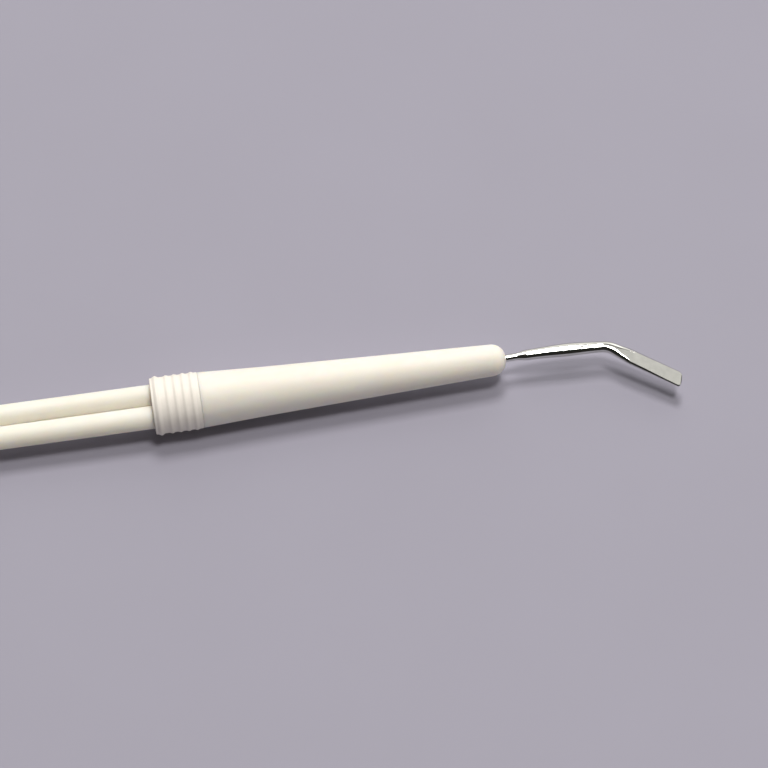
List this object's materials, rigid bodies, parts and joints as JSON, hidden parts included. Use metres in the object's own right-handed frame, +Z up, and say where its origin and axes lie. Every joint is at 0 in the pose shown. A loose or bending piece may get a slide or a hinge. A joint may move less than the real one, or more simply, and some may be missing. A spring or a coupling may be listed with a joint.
{
  "type": "dental explorer",
  "caption": "Double-ended hand instrument for examining teeth: paired white plastic rods between ribbed cone grips, a steel hook point at one end and a flat steel blade at the other.",
  "frame": {"origin": "on the table under the middle of the instrument: the centre of the bounding box's underside, with the instrument lying as it rests, on its two collar lips and the hook's point", "axes": "+X runs along the handle towards the blade end, +Z is up from the table; both steel ends bend towards -Y and down"},
  "size_m": [0.1696, 0.0148, 0.0075],
  "materials": {
    "rod_plastic": "semi-gloss moulded cream white",
    "grip_plastic": "semi-gloss moulded cream white",
    "collar_plastic": "semi-gloss moulded cream white",
    "tip_steel": "fine polished stainless wire"
  },
  "bodies": {
    "root": {"near_rod": "rod_plastic", "far_rod": "rod_plastic", "front_cone": "grip_plastic", "rear_cone": "grip_plastic", "front_collar": "collar_plastic", "rear_collar": "collar_plastic", "blade_tip": "tip_steel", "explorer_tip": "tip_steel"}
  },
  "joints": []
}
